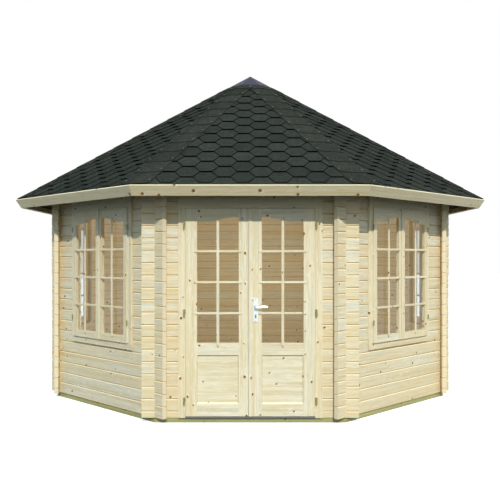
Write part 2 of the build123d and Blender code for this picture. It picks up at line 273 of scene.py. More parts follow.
def logMaterial(name, side, firstJoint):
    material, tree, shader = newMaterial(name, logLook["roughness"])
    turn = tree.nodes.new("ShaderNodeMapping")
    turn.inputs["Rotation"].default_value = (0, 0, -eighth * side)
    tree.links.new(objectPlace(tree), turn.inputs["Vector"])
    along, out, up = separate(tree, turn.outputs["Vector"])
    logCount = mathNode(tree, "SUBTRACT", up, firstJoint)
    logCount = mathNode(tree, "DIVIDE", logCount, logLook["course"])
    firstSeed = logLook["seedStep"] * side + 0.5
    tone = randomNumber(tree, mathNode(tree, "ADD", mathNode(tree, "FLOOR", logCount), firstSeed))
    shift = mathNode(tree, "MULTIPLY", tone, logLook["toneShift"])
    across = mathNode(tree, "ADD", up, shift)
    place = combine(tree, mathNode(tree, "ADD", along, shift), across, out)
    colour, height = woodColour(tree, place, tone, logLook)
    # cut ends of the logs
    facing = tree.nodes.new("ShaderNodeMapping")
    facing.vector_type = "NORMAL"
    facing.inputs["Rotation"].default_value = (0, 0, -eighth * side)
    tree.links.new(tree.nodes.new("ShaderNodeTexCoord").outputs["Normal"], facing.inputs["Vector"])
    endness = mathNode(tree, "ABSOLUTE", separate(tree, facing.outputs["Vector"])[0])
    isEnd = mathNode(tree, "GREATER_THAN", endness, logLook["endFrom"])
    ringPlace = combine(tree, 0.0, mathNode(tree, "ADD", out, shift), across)
    rings = noiseNode(tree, vectorNode(tree, "MULTIPLY", ringPlace, logLook["ringStretch"]))
    endColour = mixColour(tree, rings, logLook["endPale"], logLook["endDark"])
    colour = mixColour(tree, isEnd, colour, endColour)
    # the closed joint between two logs shows as a fine dark line, between chamfers outside: a
    # painted shade band on the upper log's lower chamfer and a painted highlight band on the lower
    # log's upper chamfer
    part = mathNode(tree, "FRACT", logCount)
    nearest = mathNode(tree, "MINIMUM", part, mathNode(tree, "SUBTRACT", 1.0, part))
    inside = mathNode(tree, "GREATER_THAN", out, logLook["insideFrom"])
    wider = mathNode(tree, "MULTIPLY_ADD", inside, logLook["insideWider"], 1.0)
    nearest = mathNode(tree, "DIVIDE", nearest, wider)
    width = logLook["jointLine"] / logLook["course"]
    seam = rangeNode(tree, nearest, width * 0.4, width, 0.7, 0.0, smooth=True)
    outside = mathNode(tree, "SUBTRACT", 1.0, inside)
    line = logLook["bevelLine"] / logLook["course"]
    # painted shade below the joint and painted highlight above it, on the outer faces only
    under = rangeNode(tree, part, line * 0.8, line, 0.8, 0.0)
    over = rangeNode(tree, part, 1 - line, 1 - line * 0.8, 0.0, 0.9)
    under = mathNode(tree, "MULTIPLY", under, outside)
    over = mathNode(tree, "MULTIPLY", over, outside)
    colour = mixColour(tree, under, colour, logLook["underLogShade"])
    colour = mixColour(tree, over, colour, logLook["overLogHighlight"])
    colour = mixColour(tree, seam, colour, logLook["joint"])
    tree.links.new(colour, shader.inputs["Base Color"])
    addBump(tree, shader, height, *logLook["bump"])
    return material


def sectorMaterial(name, look, roughness, specular=None, overhangShade=None):
    # wood whose grain runs round the octagon: each eighth is turned to face the front
    material, tree, shader = newMaterial(name, roughness, specular)
    place = objectPlace(tree)
    x, y = separate(tree, place)[:2]
    angle = mathNode(tree, "ARCTAN2", x, mathNode(tree, "MULTIPLY", y, -1.0))
    index = mathNode(tree, "ROUND", mathNode(tree, "DIVIDE", angle, eighth))
    turn = tree.nodes.new("ShaderNodeVectorRotate")
    turn.rotation_type = "Z_AXIS"
    tree.links.new(place, turn.inputs["Vector"])
    tree.links.new(mathNode(tree, "MULTIPLY", index, -eighth), turn.inputs["Angle"])
    along, out, up = separate(tree, turn.outputs["Vector"])
    shift = mathNode(tree, "MULTIPLY", index, 7.31)
    across = mathNode(tree, "ADD", up, shift)
    place = combine(tree, mathNode(tree, "ADD", along, shift), across, out)
    tone = randomNumber(tree, mathNode(tree, "ADD", index, 0.5))
    colour, height = woodColour(tree, place, tone, look)
    if overhangShade:  # painted shade: the boards outside the walls are darkened as if in the roof's shadow
        share = mathNode(tree, "LESS_THAN", out, overhangShade["start"])
        share = mathNode(tree, "MULTIPLY", share, overhangShade["share"])
        colour = mixColour(tree, share, colour, overhangShade["colour"])
    tree.links.new(colour, shader.inputs["Base Color"])
    addBump(tree, shader, height, *joineryBump)
    return material


def plainMaterial(name, colour, roughness, metallic=0.0, specular=None):
    material, _, shader = newMaterial(name, roughness, specular)
    shader.inputs["Base Color"].default_value = colour
    shader.inputs["Metallic"].default_value = metallic
    return material


def tinted(knotShare=spruceLook["knotShare"], **colours):  # the spruce in other tones
    others = {key: toLinear(*value) for key, value in colours.items()}
    return {**spruceLook, "knotShare": knotShare, **others}


endLook = tinted(0.0, white=(244, 228, 190), pale=(232, 212, 168), dark=(204, 170, 116),
                 warm=(218, 188, 138))
# painted highlight: the pale colour of the panels' lower bevels, which face up
bevelHighlightLook = tinted(0.0, pale=(255, 250, 218), warm=(255, 240, 190), cool=(255, 248, 214),
                   dark=(246, 228, 176))
floorLook = tinted(white=(232, 214, 176), pale=(222, 198, 152), dark=(184, 146, 96),
                   warm=(204, 168, 114), cool=(206, 190, 152))
fasciaLook = {**tinted(0.7, pale=(240, 232, 202), dark=(200, 174, 122)), "streak": 0.95,
              "knotRadius": (0.009, 0.017)}
treatedLook = tinted(white=(196, 192, 140), pale=(190, 186, 126), dark=(126, 120, 62),
                     warm=(160, 152, 90), cool=(150, 156, 110), knot=(84, 70, 40),
                     knotRing=(140, 124, 70))
# painted shade: the roof boards are darker than the other spruce, for the shade under the roof
roofBoardShadeLook = tinted(white=(190, 170, 130), pale=(176, 154, 112), dark=(138, 106, 64),
                       warm=(156, 126, 80), cool=(150, 138, 108))
# painted shade under the eaves, on the boards outside the walls
overhangShadeLook = {"start": -2.13, "share": 0.9, "colour": toLinear(46, 40, 28)}

joineryWood = boardMaterial("joineryWood", spruceLook)
# end grain, and also the painted shade on the panels' upper bevels, which face down
joineryEndsAndShade = boardMaterial("joineryEndsAndShade", endLook, 0.8)
wood = [joineryWood, joineryEndsAndShade, boardMaterial("joineryBevelHighlight", bevelHighlightLook)]
floorWood = boardMaterial("floorWood", floorLook)
fasciaWood = sectorMaterial("fasciaWood", fasciaLook, 0.62)
treatedWood = sectorMaterial("treatedWood", treatedLook, 0.75)
soffitBoards = sectorMaterial("soffitBoards", roofBoardShadeLook, 0.9, 0.05, overhangShadeLook)
steelGrey = plainMaterial("thresholdSheet", toLinear(112, 116, 124), 0.5, 0.3)
yellowZinc = plainMaterial("yellowZinc", toLinear(146, 142, 84), 0.5, 0.4)
satinMetal = plainMaterial("satinMetal", toLinear(232, 234, 240), 0.32, 0.75)
plateMetal = plainMaterial("plateMetal", toLinear(228, 232, 238), 0.45, 0.1)
# painted shadow and reflection: the collar's dark blue-grey stands for the lever's shadow and the
# sky on the plate
collarShadowMetal = plainMaterial("collarShadowMetal", toLinear(96, 122, 160), 0.4, 0.3)
keyholeBrass = plainMaterial("keyholeBrass", toLinear(112, 112, 54), 0.5)
nailDark = plainMaterial("nailDark", toLinear(70, 56, 44), 0.5, 0.4)
nailPale = plainMaterial("nailPale", toLinear(158, 160, 154), 0.6, 0.2)
print("plain materials and wood made")


# boards: one closed solid each, with its own place in the wood
grainAxes = ((0, 2, 1), (1, 0, 2), (2, 0, 1))  # along, across and deep, for grain along x, y or z


def toMesh(bm):
    mesh = bpy.data.meshes.new("part")
    bm.to_mesh(mesh)
    bm.free()
    return mesh


def thicken(bm, faces, push):  # a closed slab from a sheet of faces
    grown = bmesh.ops.extrude_face_region(bm, geom=faces, use_keep_orig=True)["geom"]
    moved = [part for part in grown if isinstance(part, bmesh.types.BMVert)]
    bmesh.ops.translate(bm, vec=push, verts=moved)
    return moved


def cutAway(bm, point, normal):  # drops what lies beyond a plane and closes the cut
    bmesh.ops.bisect_plane(
        bm, geom=bm.verts[:] + bm.edges[:] + bm.faces[:], dist=1e-6, plane_co=point,
        plane_no=normal, clear_outer=True
    )
    bmesh.ops.holes_fill(bm, edges=[edge for edge in bm.edges if edge.is_boundary], sides=0)


def outwardNormals(bm):
    bmesh.ops.recalc_face_normals(bm, faces=bm.faces)
    bm.normal_update()


def addBoard(boards, outline, axis, start, end, grain, bevel=1.2, cuts=(), sunk=None):
    # the outline lies in the plane across the axis, in millimetres, in the order of the other axes
    bm = bmesh.new()
    others = [index for index in range(3) if index != axis]
    corners = []
    for first, second in outline:
        spot = [0.0, 0.0, 0.0]
        spot[axis] = start * mm
        spot[others[0]] = first * mm
        spot[others[1]] = second * mm
        corners.append(bm.verts.new(spot))
    push = Vector((0, 0, 0))
    push[axis] = (end - start) * mm
    thicken(bm, [bm.faces.new(corners)], push)
    for point, normal in cuts:
        cutAway(bm, point, normal)
    outwardNormals(bm)
    if bevel:
        bmesh.ops.bevel(
            bm, geom=[edge for edge in bm.edges if edge.calc_face_angle(0) > 0.6],
            offset=bevel * mm, offset_type="OFFSET", affect="EDGES", segments=1, profile=0.5,
            material=-1, clamp_overlap=True
        )
    if sunk:
        sides = [item for item in bm.faces if abs(item.normal.y) > 0.9]
        bmesh.ops.inset_individual(bm, faces=sides, thickness=sunk[0] * mm, depth=-sunk[1] * mm)
    bm.normal_update()
    place = bm.verts.layers.float_vector.new("grainPlace")
    toneLayer = bm.verts.layers.float.new("boardTone")
    shift = Vector((chance.uniform(0, 40), chance.uniform(0, 40), chance.uniform(0, 40)))
    tone = chance.random()
    for vert in bm.verts:
        vert[place] = Vector([vert.co[index] for index in grainAxes[grain]]) + shift
        vert[toneLayer] = tone
    for item in bm.faces:
        item.material_index = 1 if abs(item.normal[grain]) > 0.9 and not sunk else 0
        if sunk and 0.2 < abs(item.normal.z) < 0.95:
            # the routed edges: painted highlight on the lower bevels, which face up, and painted
            # shade in the end-grain colour on the upper ones
            item.material_index = 2 if item.normal.z > 0 else 1
    boards.append(toMesh(bm))


def box(boards, x, y, z, grain, bevel=1.2, cuts=(), sunk=None):
    outline = [(x[0], y[0]), (x[1], y[0]), (x[1], y[1]), (x[0], y[1])]
    addBoard(boards, outline, 2, z[0], z[1], grain, bevel, cuts, sunk)


def roundPlate(width, low, high, corner, middle):  # the outline of a plate with rounded ends
    points = []
    for centreX, centreZ, start in ((middle + width / 2 - corner, high - corner, 0),
                                    (middle - width / 2 + corner, high - corner, 90),
                                    (middle - width / 2 + corner, low + corner, 180),
                                    (middle + width / 2 - corner, low + corner, 270)):
        for step in range(5):
            angle = math.radians(start + 22.5 * step)
            points.append((centreX + corner * math.cos(angle), centreZ + corner * math.sin(angle)))
    return points


def coneMesh(segments, lower, upper, depth, place):
    bm = bmesh.new()
    bmesh.ops.create_cone(bm, cap_ends=True, segments=segments, radius1=lower * mm,
                          radius2=upper * mm, depth=depth * mm)
    bmesh.ops.translate(bm, vec=place, verts=bm.verts)
    return toMesh(bm)


def addObject(name, data):
    thing = bpy.data.objects.new(name, data)
    bpy.context.scene.collection.objects.link(thing)
    return thing


def turnInside(meshes):  # mirrors the left half of a pair from the right one
    for mesh in meshes:
        mesh.transform(Matrix.Diagonal((-1, 1, 1, 1)))
        mesh.flip_normals()


def finishPiece(name, meshes, materials, body, replaced=(), side=0, smooth=False):
    objects = []
    for mesh in meshes:
        mesh.transform(Matrix.Rotation(eighth * side, 4, "Z"))
        for material in materials:
            mesh.materials.append(material)
        objects.append(addObject(name, mesh))
    piece = objects[0]
    if len(objects) > 1:
        with bpy.context.temp_override(
            active_object=piece, object=piece, selected_objects=objects,
            selected_editable_objects=objects
        ):
            bpy.ops.object.join()
    piece.name = name
    piece.data.name = name
    piece.data.polygons.foreach_set("use_smooth", [smooth] * len(piece.data.polygons))
    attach(piece, body)
    if replaced:
        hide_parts(*replaced)


# door leaves and window sashes, made for the right-hand side of the front
leafSizes = {
    "face": -2166, "back": -2124, "glassFront": -2149, "glassBack": -2144, "rebate": 10,
    "stripProud": 10, "stripHalf": 13.5, "barWidth": 22, "barProud": 10, "postWidth": 26,
    "panelBevel": 14.3, "panelDepth": 12, "archSteps": 9, "archBend": 0.26, "archEase": 1.35,
    "nailWidth": 9, "nailDrop": 5, "barBevel": 2.5, "postBevel": 3, "beadBevel": 2.5,
    "beadInset": 4,
}
# glass: the inner and outer edge, the bottom, and the arch's shoulder and crown
doorSizes = {
    "outer": 593, "glass": (106, 488, 738, 1850, 1892), "bottom": 65, "top": 1971,
    "panel": (179, 626), "bars": (1010, 1294, 1578), "barOverlap": 27, "postTail": 27, "gap": 5.2,
}
windowSizes = {
    "outer": 488, "glass": (54, 435, 768, 1870, 1917), "bottom": 697, "top": 2005,
    "bars": (1038, 1319, 1600), "barOverlap": 18, "postTail": 20, "gap": 1,
}


def archPoints(glass):  # the eased top edge of a pane, from the outer stile to the inner one
    inner, outer, _, shoulder, crown = glass
    width = outer - inner
    bend = outer - leafSizes["archBend"] * width
    run = bend - inner
    points = [(outer, shoulder)]
    for step in range(leafSizes["archSteps"] + 1):
        share = step / leafSizes["archSteps"]
        rise = math.sin(share * math.pi / 2) ** leafSizes["archEase"]
        points.append((bend - run * share, shoulder + (crown - shoulder) * rise))
    return points


def leafBoards(boards, sizes, inner):
    face, back, glassFront = leafSizes["face"], leafSizes["back"], leafSizes["glassFront"]
    left, right = sizes["glass"][:2]
    crown = sizes["glass"][-1]
    low, high, outer = sizes["bottom"], sizes["top"], sizes["outer"]
    rebate = leafSizes["rebate"]
    # stiles with the rebate for the pane behind
    addBoard(boards, [(right, face), (outer, face), (outer, back), (right + rebate, back),
                      (right + rebate, glassFront), (right, glassFront)], 2, low, high, 2)
    addBoard(boards, [(inner, face), (left, face), (left, glassFront), (left - rebate, glassFront),
                      (left - rebate, back), (inner, back)], 2, low, high, 2)
    # top rail: its front edge follows the arch, its back is cut straight for the pane
    outline = archPoints(sizes["glass"]) + [(left, high), (right, high)]
    addBoard(boards, outline, 1, face, glassFront, 0)
    box(boards, (left - rebate, right + rebate), (glassFront, back), (crown + rebate, high), 0)


def railBoard(boards, x, low, high, rebateTop):
    face, back = leafSizes["face"], leafSizes["back"]
    glassFront, rebate = leafSizes["glassFront"], leafSizes["rebate"]
    outline = [(face, low), (back, low), (back, high), (face, high)]
    if rebateTop:
        outline = [(face, low), (back, low), (back, high - rebate), (glassFront, high - rebate),
                   (glassFront, high), (face, high)]
    addBoard(boards, outline, 0, x[0], x[1], 0)


def glazingBeads(boards, sizes):  # thin strips that hold the pane from inside
    left, right, bottom, _, crown = sizes["glass"]
    rebate = leafSizes["rebate"]
    x0, x1, z0, z1 = left - rebate, right + rebate, bottom - rebate, crown + rebate
    deep = (leafSizes["glassBack"], leafSizes["back"] - leafSizes["beadInset"])
    for x in ((x0, left), (right, x1)):
        box(boards, x, deep, (z0, z1), 2, leafSizes["beadBevel"])
    for z in ((z0, bottom), (crown, z1)):
        box(boards, (left, right), deep, z, 0, leafSizes["beadBevel"])


def glazingBars(boards, sizes, nails):  # over the outer face, the upright on the crossbars
    left, right, bottom, _, crown = sizes["glass"]
    face = leafSizes["face"]
    front = face - leafSizes["barProud"]
    half = leafSizes["barWidth"] / 2
    tail = bottom - sizes["postTail"]
    for height in sizes["bars"]:
        box(boards, (left - sizes["barOverlap"], right + sizes["barOverlap"]), (front + 1, face),
            (height - half, height + half), 0, leafSizes["barBevel"])
    middle = (left + right) / 2
    post = leafSizes["postWidth"] / 2
    box(boards, (middle - post, middle + post), (front, face), (tail, crown - 2), 2,
        leafSizes["postBevel"])
    width, top = leafSizes["nailWidth"], tail - leafSizes["nailDrop"]
    nail = roundPlate(width, top - width, top, width / 2 - 0.1, middle)
    addBoard(nails, nail, 1, face, face - 1.5, 2, 0.4)


sealSizes = {"meeting": 3.2, "casing": 2.8, "depth": 12}  # soft lips that narrow the gaps


def makeLeaf(sizes, hand):
    boards, nails = [], []
    left, right, glassLow = sizes["glass"][:3]
    face, half = leafSizes["face"], leafSizes["stripHalf"]
    low, height = sizes["bottom"], (sizes["bottom"], sizes["top"])
    leafBoards(boards, sizes, -half if hand > 0 else half + sizes["gap"])
    if "panel" in sizes:  # sunk on both faces between sloped edges
        panelLow, panelHigh = sizes["panel"]
        railBoard(boards, (left, right), panelHigh, glassLow, True)
        railBoard(boards, (left, right), low, panelLow, False)
        box(boards, (left, right), (face, leafSizes["back"]), (panelLow, panelHigh), 0, 0,
            sunk=(leafSizes["panelBevel"], leafSizes["panelDepth"]))
    else:
        railBoard(boards, (left, right), low, glassLow, True)
    glazingBeads(boards, sizes)
    glazingBars(boards, sizes, nails)
    if hand < 0:
        turnInside(boards + nails)
        return boards, nails
    # the strip over the gap between the leaves, and on the door a soft lip in the gap
    box(boards, (-half, half), (face - leafSizes["stripProud"], face), height, 2, 3)
    if "panel" in sizes:
        lip = (face + 1, face + 1 + sealSizes["depth"])
        box(boards, (-half - sealSizes["meeting"], -half), lip, height, 2, 0.6)
    return boards, nails


for name, hand in (("right_door", 1), ("left_door", -1)):
    boards, nails = makeLeaf(doorSizes, hand)
    finishPiece(name + "_nails", nails, [nailDark, nailDark], name)
    finishPiece(name + "_boards", boards, wood, name, (name,))


windowHinge = {"across": 497, "out": -2171, "heights": (894, 1814), "radius": 6.5, "length": 50}


def makeWindowHinges(place, side):
    sizes = windowHinge
    parts = []
    for across in (-sizes["across"], sizes["across"]):
        for height in sizes["heights"]:
            spot = (across * mm, sizes["out"] * mm, height * mm)
            parts.append(coneMesh(20, sizes["radius"], sizes["radius"], sizes["length"], spot))
    finishPiece(place + "_window_hinges", parts, [yellowZinc], "cabin",
                side=side)


def makeSashes(place, side):
    boards, nails = [], []
    for hand in (-1, 1):
        leafParts, leafNails = makeLeaf(windowSizes, hand)
        boards += leafParts
        nails += leafNails
    finishPiece(place + "_sash_nails", nails, [nailDark, nailDark], "cabin",
                side=side)
    finishPiece(place + "_sash_boards", boards, wood, "cabin",
                (place + "_window_sashes",), side)


# door furniture
handleSizes = {
    "x": 49, "height": 1069, "low": 930, "high": 1148, "width": 44, "thick": 8, "corner": 9,
    "screwRadius": 3.5, "screwInset": 11, "collarRadius": 13, "collarThick": 5, "keyHeight": 982,
    "keyWidth": 14, "keyHalf": 18, "leverRadius": 8.5, "standOff": 40,
    # aside, out and up
    "leverRoute": ((0, -14, 0), (0, 0, 0), (16, 2, 0), (60, 0, 2), (106, 0, 0)),
}


def makePlates():
    sizes = handleSizes
    x, height, thick, radius = sizes["x"], sizes["height"], sizes["thick"], sizes["collarRadius"]
    parts, collars, dark = [], [], []
    outer, inner = leafSizes["face"], leafSizes["back"]
    outline = roundPlate(sizes["width"], sizes["low"], sizes["high"], sizes["corner"], x)
    collar = roundPlate(2 * radius, height - radius, height + radius, radius - 0.1, x)
    for face, hand in ((outer, -1), (inner, 1)):
        top = face + hand * thick
        addBoard(parts, outline, 1, face, top, 2, 2.2)
        addBoard(collars, collar, 1, top, face + hand * (thick + sizes["collarThick"]), 2, 1.5)
    finishPiece("handle_plates", parts, [plateMetal, plateMetal], "right_door",
                ("door_handle_plates",))
    finishPiece("handle_collars", collars, [collarShadowMetal, collarShadowMetal], "right_door")
    width, radius = sizes["keyWidth"], sizes["screwRadius"]
    low, high = sizes["keyHeight"] - sizes["keyHalf"], sizes["keyHeight"] + sizes["keyHalf"]
    key = roundPlate(width, low, high, width / 2 - 0.1, x)
    for face, hand in ((outer - thick, -1), (inner + thick, 1)):
        addBoard(dark, key, 1, face, face + hand * 0.6, 2, 0)
        for height in (sizes["low"] + sizes["screwInset"], sizes["high"] - sizes["screwInset"]):
            screw = roundPlate(2 * radius, height - radius, height + radius, radius - 0.1, x)
            addBoard(dark, screw, 1, face, face + hand * 1.0, 2, 0.3)
    finishPiece("keyhole_and_screws", dark, [keyholeBrass, keyholeBrass], "right_door")


def makeLever():
    sizes = handleSizes
    parts = []
    radius, thick = sizes["leverRadius"] * mm, sizes["thick"]
    for face, hand in ((leafSizes["face"] - thick, -1), (leafSizes["back"] + thick, 1)):
        far = face + hand * sizes["standOff"]
        route = [(sizes["x"], face, sizes["height"])]
        for aside, out, up in sizes["leverRoute"]:
            route.append((sizes["x"] + aside, far + hand * out, sizes["height"] + up))
        curve = bpy.data.curves.new("leverPath", "CURVE")
        curve.dimensions = "3D"
        line = curve.splines.new("NURBS")
        line.points.add(len(route) - 1)
        for point, spot in zip(line.points, route):
            point.co = (*(Vector(spot) * mm), 1)
        line.order_u = 3
        line.use_endpoint_u = True
        line.resolution_u = 10
        curve.bevel_depth = radius
        curve.bevel_resolution = 4
        curve.use_fill_caps = True
        holder = bpy.data.objects.new("leverPath", curve)
        parts.append(bpy.data.meshes.new_from_object(holder))
        bpy.data.objects.remove(holder)
        bpy.data.curves.remove(curve)
        tip = bmesh.new()
        bmesh.ops.create_uvsphere(tip, u_segments=16, v_segments=8, radius=radius)
        bmesh.ops.translate(tip, vec=Vector(route[-1]) * mm, verts=tip.verts)
        parts.append(toMesh(tip))
    finishPiece("lever_handles", parts, [satinMetal], "door_lever",
                ("door_lever",), smooth=True)


makePlates()
makeLever()


# casings: boards on both faces of the wall and a lining between them
casingSizes = {
    "outerFace": -2150, "wallFace": -2130, "innerWall": -2086, "innerFace": -2066, "headTop": 2110,
    # half the clear width, board width, bottom, and the opening's bottom and top
    "door": (598, 65, 45, 45, 1976), "window": (488, 52, 636, 690, 2005),
    "stopWidth": 14, "stopHeight": 12, "bevel": 1.5, "innerBevel": 0.6,
}


def makeCasing(name, sizes, side, replaced):
    half, width, low, openLow, openHigh = sizes
    lining = width / 2
    boards = []
    outerFace, wallFace = casingSizes["outerFace"], casingSizes["wallFace"]
    outer, between = (outerFace, wallFace), (wallFace, casingSizes["innerWall"])
    inner = (casingSizes["innerWall"], casingSizes["innerFace"])
    bevel, innerBevel = casingSizes["bevel"], casingSizes["innerBevel"]
    isWindow = openLow > low
    liningLow = low + lining if isWindow else low
    for hand in (-1, 1):
        x = sorted((hand * half, hand * (half + width)))
        box(boards, x, outer, (openLow, openHigh), 2, bevel)
        box(boards, x, inner, (low, openHigh + width), 2, bevel)
        x = sorted((hand * half, hand * (half + lining)))
        box(boards, x, between, (liningLow, openHigh + lining), 2, innerBevel)
    box(boards, (-half - width, half + width), outer, (openHigh, casingSizes["headTop"]), 0, bevel)
    box(boards, (-half, half), inner, (openHigh, openHigh + width), 0, bevel)
    box(boards, (-half, half), between, (openHigh, openHigh + lining), 0, innerBevel)
    if isWindow:
        box(boards, (-half - width, half + width), outer, (low, openLow), 0, bevel)
        box(boards, (-half, half), between, (low + lining, openLow), 0, innerBevel)
        box(boards, (-half, half), inner, (low, openLow), 0, bevel)
    else:  # stops behind the leaves
        stop, lip = half - casingSizes["stopWidth"], half - sealSizes["casing"]
        behind = (leafSizes["back"] + 3, casingSizes["innerWall"])
        front = (outerFace + 1, outerFace + 1 + sealSizes["depth"])
        for hand in (-1, 1):
            box(boards, sorted((hand * stop, hand * half)), behind, (low, openHigh), 2, 1)
            box(boards, sorted((hand * lip, hand * half)), front, (low, openHigh), 2, innerBevel)
        box(boards, (-stop, stop), behind, (openHigh - casingSizes["stopHeight"], openHigh), 0, 1)
    finishPiece(name, boards, wood, "cabin", (replaced,), side)


makeCasing("door_casing_boards", casingSizes["door"], 0, "door_frame")
for place, side in (("front_right", 1), ("right", 2), ("left", 6), ("front_left", 7)):
    makeSashes(place, side)
    makeWindowHinges(place, side)
    makeCasing(place + "_casing_boards", casingSizes["window"], side, place + "_window_frame")
print("joinery made")


# walls, base and roof boards keep their CAD shape
def dress(node, material):
    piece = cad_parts[node]
    piece.data.materials.clear()
    piece.data.materials.append(material)


firstJoints = (0.102, 0.045)  # the logs of every second wall lie half a course lower
for side, place in enumerate(sideNames):
    logs = logMaterial(f"logs{side}", side, firstJoints[side % 2])
    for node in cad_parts:
        if node == place + "_wall" or side == 0 and node.startswith("front_wall_"):
            dress(node, logs)
dress("fascia_boards", fasciaWood)
dress("base_frame", treatedWood)
dress("door_threshold", steelGrey)
for place in sideNames:
    dress(place + "_roof_panel", soffitBoards)
dress("hip_rafters", soffitBoards)
dress("rafter_hub", soffitBoards)
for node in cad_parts:
    if "hinge" in node:
        dress(node, yellowZinc)


# glass
glassLook = {"tint": toLinear(236, 240, 238), "roughness": 0.02, "bend": 1.22}


def glassMaterial():
    material, tree, shader = newMaterial("paneGlass", glassLook["roughness"])
    shader.inputs["Base Color"].default_value = glassLook["tint"]
    shader.inputs["Transmission Weight"].default_value = 1.0
    shader.inputs["IOR"].default_value = glassLook["bend"]
    # a thin pane lets sun and sky light through to the room
    path = tree.nodes.new("ShaderNodeLightPath").outputs
    clear = tree.nodes.new("ShaderNodeBsdfTransparent")
    blend = tree.nodes.new("ShaderNodeMixShader")
    passing = mathNode(tree, "MAXIMUM", path["Is Shadow Ray"], path["Is Diffuse Ray"])
    fillSlots(tree, blend.inputs, (passing, shader.outputs[0], clear.outputs[0]))
    tree.links.new(blend.outputs[0], tree.nodes["Material Output"].inputs["Surface"])
    return material


paneGlass = glassMaterial()
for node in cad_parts:
    if node.endswith("_glass"):
        dress(node, paneGlass)
print("CAD pieces dressed")


# roof: rows of six-sided shingle tabs, each row over the top half of the one below
roofSizes = {
    "apex": 3753, "slope": 0.6374, "eaveRun": 2983, "firstRow": 2939.5, "lastRow": 340,
    "exposure": 111.5, "pitch": 333, "phase": 101.5, "flat": 110, "waist": 221, "thick": 6.0,
    "lift": 4.2, "rim": 5, "starter": (1400, 250), "starterLay": (0.2, 4.4),
    "capHalf": 150, "capExposure": 242, "capThick": 10, "capLift": 9.0, "capLap": 34,
    "capTop": 318, "capBow": (34, 11), "capBowAt": 0.55, "capBowUpper": 0.6, "capSpread": 9,
    "capTuck": 5.5, "capShortest": 60,
    "nailRadius": 5.5, "nailPlace": (22, 88),
}
slopeAngle = math.atan(roofSizes["slope"])


def roofSpot(across, run, rise):
    # a point of the front slope: run goes down from the apex, rise goes square above the slope
    cos, sin = math.cos(slopeAngle), math.sin(slopeAngle)
    y = -(run * cos + rise * sin)
    z = roofSizes["apex"] - run * sin + rise * cos
    return Vector((across * mm, y * mm, z * mm))


shingleLook = {
    "grains": 420, "patches": 9.0, "fleckShare": 0.22, "patchShade": (0.9, 1.1),
    "tabShade": (0.86, 1.14), "roughness": 0.9, "bump": (0.4, 0.0012),
}


def shingleMaterial(name, base, fleck):
    material, tree, shader = newMaterial(name, shingleLook["roughness"], 0.0)
    place = objectPlace(tree)
    grains = tree.nodes.new("ShaderNodeTexVoronoi")
    grains.inputs["Scale"].default_value = shingleLook["grains"]
    tree.links.new(place, grains.inputs["Vector"])
    patches = noiseNode(tree, place, shingleLook["patches"], 4.0, 0.6)
    shade = rangeNode(tree, patches, 0.3, 0.7, *shingleLook["patchShade"])
    tone = readAttribute(tree, "boardTone", "Fac")
    tabShade = rangeNode(tree, tone, 0.0, 1.0, *shingleLook["tabShade"])
    shade = mathNode(tree, "MULTIPLY", shade, tabShade)
    isFleck = separate(tree, grains.outputs["Color"])[0]
    isFleck = mathNode(tree, "LESS_THAN", isFleck, shingleLook["fleckShare"])
    colour = mixColour(tree, isFleck, base, fleck)
    colour = mixColour(tree, 1.0, colour, combine(tree, shade, shade, shade), "MULTIPLY")
    tree.links.new(colour, shader.inputs["Base Color"])
    addBump(tree, shader, grains.outputs["Distance"], *shingleLook["bump"])
    return material


shingleTop = shingleMaterial("shingleGranules", toLinear(43, 45, 39), toLinear(78, 82, 72))
hipTop = shingleMaterial("hipGranules", toLinear(44, 45, 39), toLinear(80, 81, 70))
# painted shade: a dark grey for the tab rims, the slanted tab edges and the caps' lower edges
paintedShadeEdge = plainMaterial("shadedEdge", toLinear(26, 28, 24), 1.0, specular=0.0)
# near-black for the flat tab edges: bitumen, darkened further as painted shade
shingleEdgeAndShade = plainMaterial("bitumenEdgeAndShade", toLinear(5, 6, 5), 1.0, specular=0.0)


def addTab(bm, tone, outline, middle, run, lift, tilt, plainSides=False):
    sizes = roofSizes
    value = chance.random()
    corners = []
    for across, up in outline:
        rise = lift - tilt * up / sizes["exposure"]
        corners.append(bm.verts.new(roofSpot(middle + across, run - up, rise)))
    face = bm.faces.new(corners)
    lower = thicken(bm, [face], roofSpot(0, 0, -sizes["thick"]) - roofSpot(0, 0, 0))
    rim = sizes["rim"] * mm
    strips = bmesh.ops.inset_region(bm, faces=[face], thickness=rim, use_even_offset=True)["faces"]
    for strip in strips:  # painted shade: a dark rim along the tab's edges, but for the rising sides on the slopes beside
        heights = [spot.co.z for spot in strip.verts]
        climbs = max(heights) - min(heights) > rim * 2
        strip.material_index = 0 if climbs and plainSides else 2
    for spot in corners + lower + list(face.verts):
        spot[tone] = value


